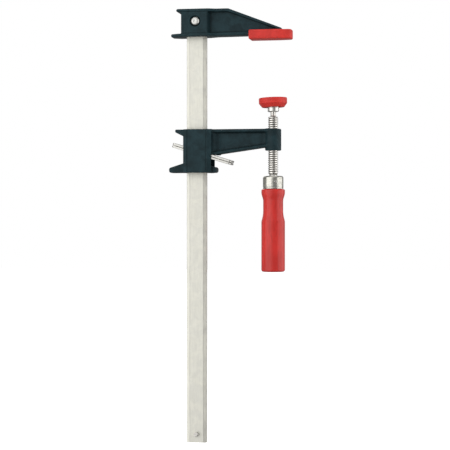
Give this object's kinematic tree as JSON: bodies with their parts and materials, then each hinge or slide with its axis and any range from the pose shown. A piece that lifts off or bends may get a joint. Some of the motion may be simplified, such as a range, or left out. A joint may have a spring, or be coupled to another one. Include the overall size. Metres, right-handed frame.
{
  "type": "clutch bar clamp",
  "caption": "F clamp with a riveted fixed jaw on a flat steel rail and a sliding jaw locked by tilted clutch plates, with a hand screw, swivel pad and turned handle.",
  "frame": {"origin": "centre of the fixed jaw pad's clamping face, on the axis of the hand screw", "axes": "+Z along the rail from the handle end towards the fixed jaw, +X from the rail towards the jaw tips, -Y is the front"},
  "size_m": [0.1171, 0.0266, 0.4108],
  "materials": {
    "rail_steel": "zinc plated, drawn along its length",
    "stop_pin_steel": "bright, domed ends",
    "rivet_steel": "bright, peened head",
    "jaw_enamel": "dark blue-green enamel over a sand casting",
    "cap_plastic": "red, satin",
    "plate_zinc": "zinc plated, sheared edges",
    "spring_steel": "drawn wire",
    "screw_steel": "rolled thread, oiled",
    "foot_steel": "turned, bright",
    "ferrule_steel": "polished, drawn cup",
    "pin_steel": "cut wire",
    "handle_lacquer": "red lacquer over turned wood"
  },
  "bodies": {
    "rail": {"bar": "rail_steel", "fixed_jaw": "jaw_enamel", "jaw_rivet": "rivet_steel", "fixed_jaw_pad": "cap_plastic", "end_stop_pin": "stop_pin_steel"},
    "sliding_jaw": {"sliding_jaw": "jaw_enamel", "clutch_spring": "spring_steel"},
    "clutch": {"clutch_plate_upper": "plate_zinc", "clutch_plate_lower": "plate_zinc"},
    "ball": {"spindle_ball": "screw_steel"},
    "spindle": {"spindle": "screw_steel", "ferrule": "ferrule_steel", "ferrule_pin": "pin_steel", "handle": "handle_lacquer"},
    "foot": {"swivel_foot": "foot_steel", "pad_cap": "cap_plastic"}
  },
  "joints": [
    {"name": "jaw_slide", "type": "slide", "parent": "rail", "child": "sliding_jaw", "axis": [0, 0, 1], "range_m": [-0.2455, 0.027]},
    {"name": "clutch_release", "type": "hinge", "parent": "sliding_jaw", "child": "clutch", "pos_m": [-0.05402, 0, -0.1092], "axis": [0, -1, 0], "range_deg": [0, 8], "stiffness_Nm_per_rad": 0.35, "springref_deg": -22.92, "deforming": ["clutch_spring"]},
    {"name": "spindle_advance", "type": "slide", "parent": "sliding_jaw", "child": "ball", "axis": [0, 0, 1], "range_m": [-0.0142, 0.0234]},
    {"name": "spindle_turn", "type": "hinge", "parent": "ball", "child": "spindle", "pos_m": [0, 0, -0.0638], "axis": [0, 0, 1], "range_deg": [-2556, 4212]},
    {"name": "foot_tilt", "type": "hinge", "parent": "ball", "child": "foot", "pos_m": [0, 0, -0.0638], "axis": [0, 1, 0], "range_deg": [-6, 10]}
  ],
  "couplings": [
    {"joint": "spindle_turn", "follows": "spindle_advance", "rad_per_m": 3141.6}
  ]
}
